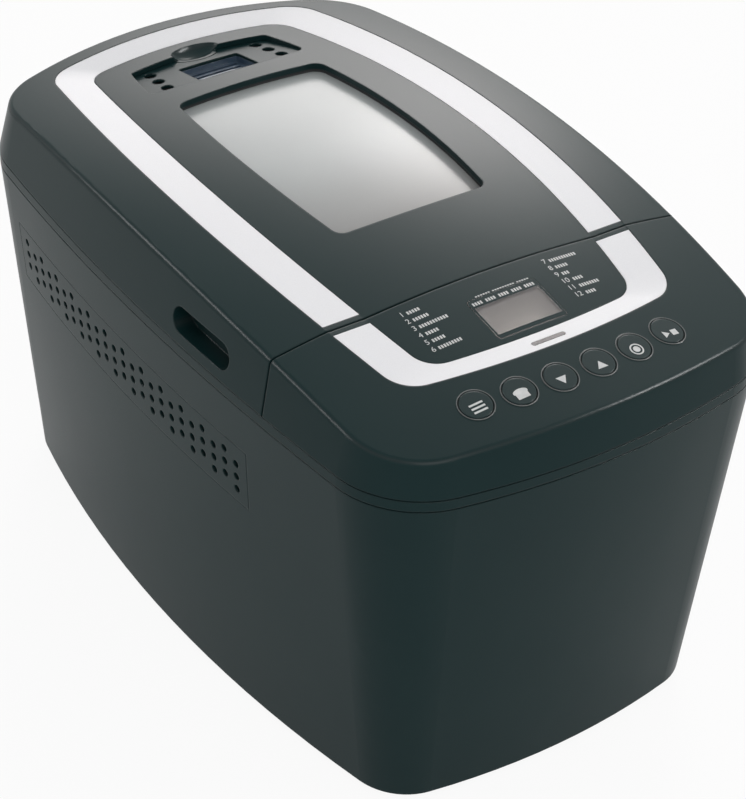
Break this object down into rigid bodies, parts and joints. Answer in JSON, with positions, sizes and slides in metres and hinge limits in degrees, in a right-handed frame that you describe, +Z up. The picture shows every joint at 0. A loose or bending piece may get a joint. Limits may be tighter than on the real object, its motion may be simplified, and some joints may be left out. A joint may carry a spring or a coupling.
{
  "type": "bread machine",
  "caption": "Countertop bread machine: hinged lid with a window, front control panel with push buttons, vented body, baking chamber, lift-out pan and belt-driven paddle.",
  "frame": {"origin": "on the table under the middle of the machine", "axes": "+X to the right as the user faces the control panel, control panel towards -Y, +Z up"},
  "size_m": [0.24, 0.39, 0.2329],
  "materials": {
    "housing_black": "fine satin moulded texture",
    "trim_silver": "satin silver",
    "button_black": "satin",
    "window_glass": "clear tempered glass",
    "display_lens": "clear, smoke edge",
    "indicator_lens": "clear grey",
    "lcd_grey": "unlit display",
    "screen_blue": "translucent",
    "rubber_black": "matte",
    "sheet_steel": "plain galvanised sheet",
    "liner_alu": "satin drawn sheet",
    "turned_steel": "turned",
    "heater_steel": "heat darkened",
    "ceramic_white": "fired ceramic",
    "nonstick_grey": "non-stick coating",
    "cast_alloy": "die cast",
    "motor_steel": "plain",
    "drive_plastic": "natural nylon",
    "board_green": "circuit board",
    "component_dark": "moulded"
  },
  "bodies": {
    "housing": {"body_shell": "housing_black", "base_plate": "housing_black", "base_screws": "turned_steel", "rubber_feet": "rubber_black", "vent_grille_left": "housing_black", "vent_grille_right": "housing_black", "top_deck": "housing_black", "hinge_pins": "turned_steel", "control_panel": "housing_black", "panel_trim": "trim_silver", "display_lens": "display_lens", "indicator_lens": "indicator_lens", "lcd_module": "lcd_grey", "control_board": "board_green", "tact_switches": "component_dark", "power_board": "board_green", "board_components": "component_dark", "cord_gland": "rubber_black", "chassis_plate": "sheet_steel", "chamber_liner": "liner_alu", "heating_element": "heater_steel", "element_bushings": "ceramic_white", "temperature_sensor": "sheet_steel", "pan_clips": "sheet_steel", "motor_body": "motor_steel", "drive_belt": "rubber_black", "drive_bearing": "cast_alloy"},
    "lid": {"lid_cover": "housing_black", "lid_trim": "trim_silver", "window_gasket": "rubber_black", "window_glass": "window_glass", "vent_plate": "housing_black", "vent_screen": "screen_blue", "lid_liner": "liner_alu", "liner_screws": "turned_steel"},
    "motor_rotor": {"motor_shaft": "turned_steel", "motor_pulley": "drive_plastic", "motor_fan": "drive_plastic"},
    "drive": {"drive_shaft": "turned_steel", "drive_pulley": "drive_plastic", "drive_coupling": "cast_alloy"},
    "pan": {"bread_pan": "nonstick_grey", "pan_foot": "cast_alloy", "pan_bearing": "cast_alloy", "handle_brackets": "turned_steel"},
    "paddle": {"pan_shaft": "turned_steel", "pan_coupling": "cast_alloy", "kneading_paddle": "nonstick_grey"},
    "handle": {"pan_handle": "turned_steel"},
    "menu_key": {"menu_button": "button_black"},
    "loaf_size_key": {"loaf_size_button": "button_black"},
    "time_down_key": {"time_down_button": "button_black"},
    "time_up_key": {"time_up_button": "button_black"},
    "crust_key": {"crust_button": "button_black"},
    "start_stop_key": {"start_stop_button": "button_black"}
  },
  "joints": [
    {"name": "lid_hinge", "type": "hinge", "parent": "housing", "child": "lid", "pos_m": [0, 0.1885, 0.197], "axis": [-1, 0, 0], "range_deg": [0, 90]},
    {"name": "drive_spin", "type": "hinge", "parent": "housing", "child": "drive", "pos_m": [0, 0.04, 0], "axis": [0, 0, 1], "continuous": true},
    {"name": "motor_spin", "type": "hinge", "parent": "housing", "child": "motor_rotor", "pos_m": [0, -0.125, 0], "axis": [0, 0, 1], "continuous": true},
    {"name": "pan_lift", "type": "slide", "parent": "housing", "child": "pan", "axis": [0, 0, 1], "range_m": [0, 0.02]},
    {"name": "paddle_spin", "type": "hinge", "parent": "pan", "child": "paddle", "pos_m": [0, 0.04, 0], "axis": [0, 0, 1], "continuous": true},
    {"name": "handle_swing", "type": "hinge", "parent": "pan", "child": "handle", "pos_m": [0, 0.04, 0.179], "axis": [0, -1, 0], "range_deg": [0, 22]},
    {"name": "menu_press", "type": "slide", "parent": "housing", "child": "menu_key", "axis": [0, 0, -1], "range_m": [0, 0.0008], "stiffness_N_per_m": 600},
    {"name": "loaf_size_press", "type": "slide", "parent": "housing", "child": "loaf_size_key", "axis": [0, 0, -1], "range_m": [0, 0.0008], "stiffness_N_per_m": 600},
    {"name": "time_down_press", "type": "slide", "parent": "housing", "child": "time_down_key", "axis": [0, 0, -1], "range_m": [0, 0.0008], "stiffness_N_per_m": 600},
    {"name": "time_up_press", "type": "slide", "parent": "housing", "child": "time_up_key", "axis": [0, 0, -1], "range_m": [0, 0.0008], "stiffness_N_per_m": 600},
    {"name": "crust_press", "type": "slide", "parent": "housing", "child": "crust_key", "axis": [0, 0, -1], "range_m": [0, 0.0008], "stiffness_N_per_m": 600},
    {"name": "start_stop_press", "type": "slide", "parent": "housing", "child": "start_stop_key", "axis": [0, 0, -1], "range_m": [0, 0.0008], "stiffness_N_per_m": 600}
  ],
  "couplings": [
    {"joint": "motor_spin", "follows": "drive_spin", "ratio": 4.351},
    {"joint": "paddle_spin", "follows": "drive_spin", "ratio": 1}
  ]
}
